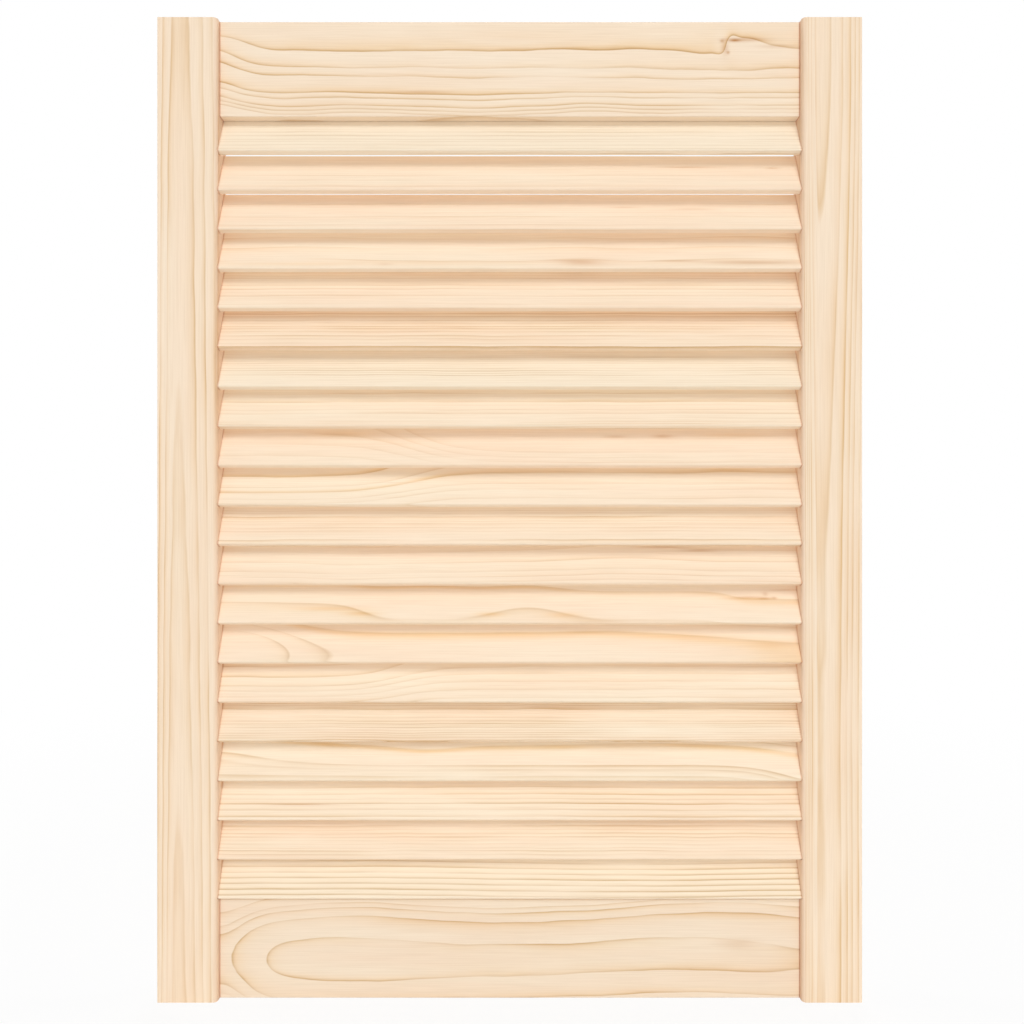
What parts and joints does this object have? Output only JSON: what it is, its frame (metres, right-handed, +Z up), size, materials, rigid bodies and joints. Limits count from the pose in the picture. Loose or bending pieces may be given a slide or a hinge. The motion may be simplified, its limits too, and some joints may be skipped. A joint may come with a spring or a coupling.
{
  "type": "louvred cabinet door",
  "caption": "Flat softwood door leaf: uprights and cross rails frame a ladder of fixed sloping slats that block the view but let air through.",
  "frame": {"origin": "middle of the hinge edge, the outer face of the left stile as seen from the front", "axes": "+X across the door towards the closing edge, +Y from the front to the back, +Z up"},
  "size_m": [0.494, 0.021, 0.69],
  "materials": {
    "stile_pine": "bare planed pine, straight upright grain",
    "rail_pine": "bare planed pine, flat-sawn figure along the rail",
    "slat_pine": "bare planed pine, fine grain along the slat"
  },
  "bodies": {
    "root": {"left_stile": "stile_pine", "right_stile": "stile_pine", "top_rail": "rail_pine", "bottom_rail": "rail_pine", "slat_01": "slat_pine", "slat_02": "slat_pine", "slat_03": "slat_pine", "slat_04": "slat_pine", "slat_05": "slat_pine", "slat_06": "slat_pine", "slat_07": "slat_pine", "slat_08": "slat_pine", "slat_09": "slat_pine", "slat_10": "slat_pine", "slat_11": "slat_pine", "slat_12": "slat_pine", "slat_13": "slat_pine", "slat_14": "slat_pine", "slat_15": "slat_pine", "slat_16": "slat_pine", "slat_17": "slat_pine", "slat_18": "slat_pine", "slat_19": "slat_pine", "slat_20": "slat_pine"}
  },
  "joints": []
}
